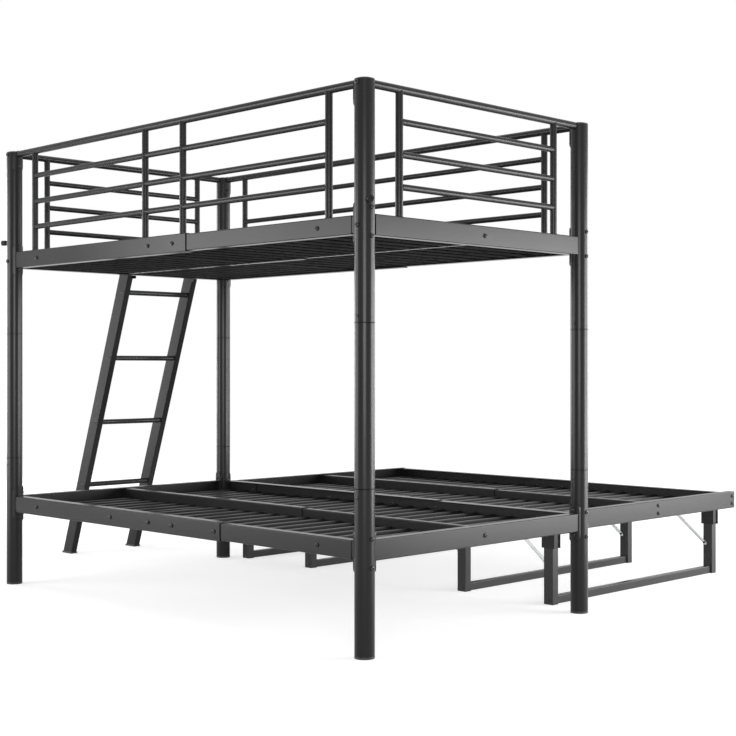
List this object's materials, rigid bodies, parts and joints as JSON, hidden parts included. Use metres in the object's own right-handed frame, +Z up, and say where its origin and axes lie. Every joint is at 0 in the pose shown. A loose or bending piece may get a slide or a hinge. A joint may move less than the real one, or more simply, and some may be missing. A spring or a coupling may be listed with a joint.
{
  "type": "bunk bed with trundle",
  "caption": "Black steel bunk bed with guarded upper deck, leaning end ladder, slatted decks and a pull-out trundle on folding leg frames.",
  "frame": {"origin": "centre of the whole assembly's bounding box on the floor, with the trundle pulled out", "axes": "+X along the bed from the foot end to the ladder end; +Y from the trundle side to the back; +Z up"},
  "size_m": [2.6224, 2.224, 1.68],
  "materials": {
    "coated_steel": "charcoal black powder coat, satin",
    "black_plastic": "moulded, matte",
    "zinc_steel": "bright zinc",
    "black_fasteners": "black oxide, satin"
  },
  "bodies": {
    "bunk": {"bunk_bolts": "black_fasteners", "guard_back": "coated_steel", "guard_front": "coated_steel", "ladder_feet": "black_plastic", "ladder_hooks": "coated_steel", "ladder_rungs": "coated_steel", "ladder_stiles": "coated_steel", "lower_centre_beam_foot_half": "coated_steel", "lower_centre_beam_ladder_half": "coated_steel", "lower_end_rail_foot": "coated_steel", "lower_end_rail_ladder": "coated_steel", "lower_rail_back_foot_half": "coated_steel", "lower_rail_back_ladder_half": "coated_steel", "lower_rail_front_foot_half": "coated_steel", "lower_rail_front_ladder_half": "coated_steel", "lower_slats": "coated_steel", "post_back_foot_lower": "coated_steel", "post_back_foot_middle": "coated_steel", "post_back_foot_upper": "coated_steel", "post_back_ladder_lower": "coated_steel", "post_back_ladder_middle": "coated_steel", "post_back_ladder_upper": "coated_steel", "post_caps": "black_plastic", "post_foot_glides": "black_plastic", "post_front_foot_lower": "coated_steel", "post_front_foot_middle": "coated_steel", "post_front_foot_upper": "coated_steel", "post_front_ladder_lower": "coated_steel", "post_front_ladder_middle": "coated_steel", "post_front_ladder_upper": "coated_steel", "post_joint_sleeves": "coated_steel", "post_pegs": "coated_steel", "rail_end_brackets": "coated_steel", "upper_centre_beam_foot_half": "coated_steel", "upper_centre_beam_ladder_half": "coated_steel", "upper_end_frame_foot": "coated_steel", "upper_end_frame_ladder": "coated_steel", "upper_rail_back_foot_half": "coated_steel", "upper_rail_back_ladder_half": "coated_steel", "upper_rail_front_foot_half": "coated_steel", "upper_rail_front_ladder_half": "coated_steel", "upper_slats": "coated_steel"},
    "trundle": {"trundle_bolts_and_pins": "black_fasteners", "trundle_centre_beam_foot_half": "coated_steel", "trundle_centre_beam_ladder_half": "coated_steel", "trundle_end_rail_foot": "coated_steel", "trundle_end_rail_ladder": "coated_steel", "trundle_rail_back_foot_half": "coated_steel", "trundle_rail_back_ladder_half": "coated_steel", "trundle_rail_front_foot_half": "coated_steel", "trundle_rail_front_ladder_half": "coated_steel", "trundle_slats": "coated_steel"},
    "leg_frame_foot_outer": {"leg_frame_foot_outer": "coated_steel"},
    "stays_foot_outer": {"stays_foot_outer": "zinc_steel"},
    "leg_frame_foot_inner": {"leg_frame_foot_inner": "coated_steel"},
    "stays_foot_inner": {"stays_foot_inner": "zinc_steel"},
    "leg_frame_ladder_inner": {"leg_frame_ladder_inner": "coated_steel"},
    "stays_ladder_inner": {"stays_ladder_inner": "zinc_steel"},
    "leg_frame_ladder_outer": {"leg_frame_ladder_outer": "coated_steel"},
    "stays_ladder_outer": {"stays_ladder_outer": "zinc_steel"}
  },
  "joints": [
    {"name": "trundle_slide", "type": "slide", "parent": "bunk", "child": "trundle", "axis": [0, -1, 0], "range_m": [0, 0.35]},
    {"name": "fold_foot_outer", "type": "hinge", "parent": "trundle", "child": "leg_frame_foot_outer", "pos_m": [-1.08934, -0.553, 0.24], "axis": [0, -1, 0], "range_deg": [0, 90]},
    {"name": "stay_foot_outer", "type": "hinge", "parent": "leg_frame_foot_outer", "child": "stays_foot_outer", "pos_m": [-1.07534, -0.553, 0.124], "axis": [0, -1, 0], "range_deg": [-128, 0]},
    {"name": "fold_foot_inner", "type": "hinge", "parent": "trundle", "child": "leg_frame_foot_inner", "pos_m": [-0.68234, -0.553, 0.24], "axis": [0, -1, 0], "range_deg": [0, 90]},
    {"name": "stay_foot_inner", "type": "hinge", "parent": "leg_frame_foot_inner", "child": "stays_foot_inner", "pos_m": [-0.66834, -0.553, 0.124], "axis": [0, -1, 0], "range_deg": [-128, 0]},
    {"name": "fold_ladder_inner", "type": "hinge", "parent": "trundle", "child": "leg_frame_ladder_inner", "pos_m": [0.16766, -0.553, 0.24], "axis": [0, 1, 0], "range_deg": [0, 90]},
    {"name": "stay_ladder_inner", "type": "hinge", "parent": "leg_frame_ladder_inner", "child": "stays_ladder_inner", "pos_m": [0.15366, -0.553, 0.124], "axis": [0, 1, 0], "range_deg": [-128, 0]},
    {"name": "fold_ladder_outer", "type": "hinge", "parent": "trundle", "child": "leg_frame_ladder_outer", "pos_m": [0.57466, -0.553, 0.24], "axis": [0, 1, 0], "range_deg": [0, 90]},
    {"name": "stay_ladder_outer", "type": "hinge", "parent": "leg_frame_ladder_outer", "child": "stays_ladder_outer", "pos_m": [0.56066, -0.553, 0.124], "axis": [0, 1, 0], "range_deg": [-128, 0]}
  ],
  "couplings": [
    {"joint": "stay_foot_outer", "follows": "fold_foot_outer", "ratio": -1.412},
    {"joint": "stay_foot_inner", "follows": "fold_foot_inner", "ratio": -1.412},
    {"joint": "stay_ladder_inner", "follows": "fold_ladder_inner", "ratio": -1.412},
    {"joint": "stay_ladder_outer", "follows": "fold_ladder_outer", "ratio": -1.412}
  ]
}
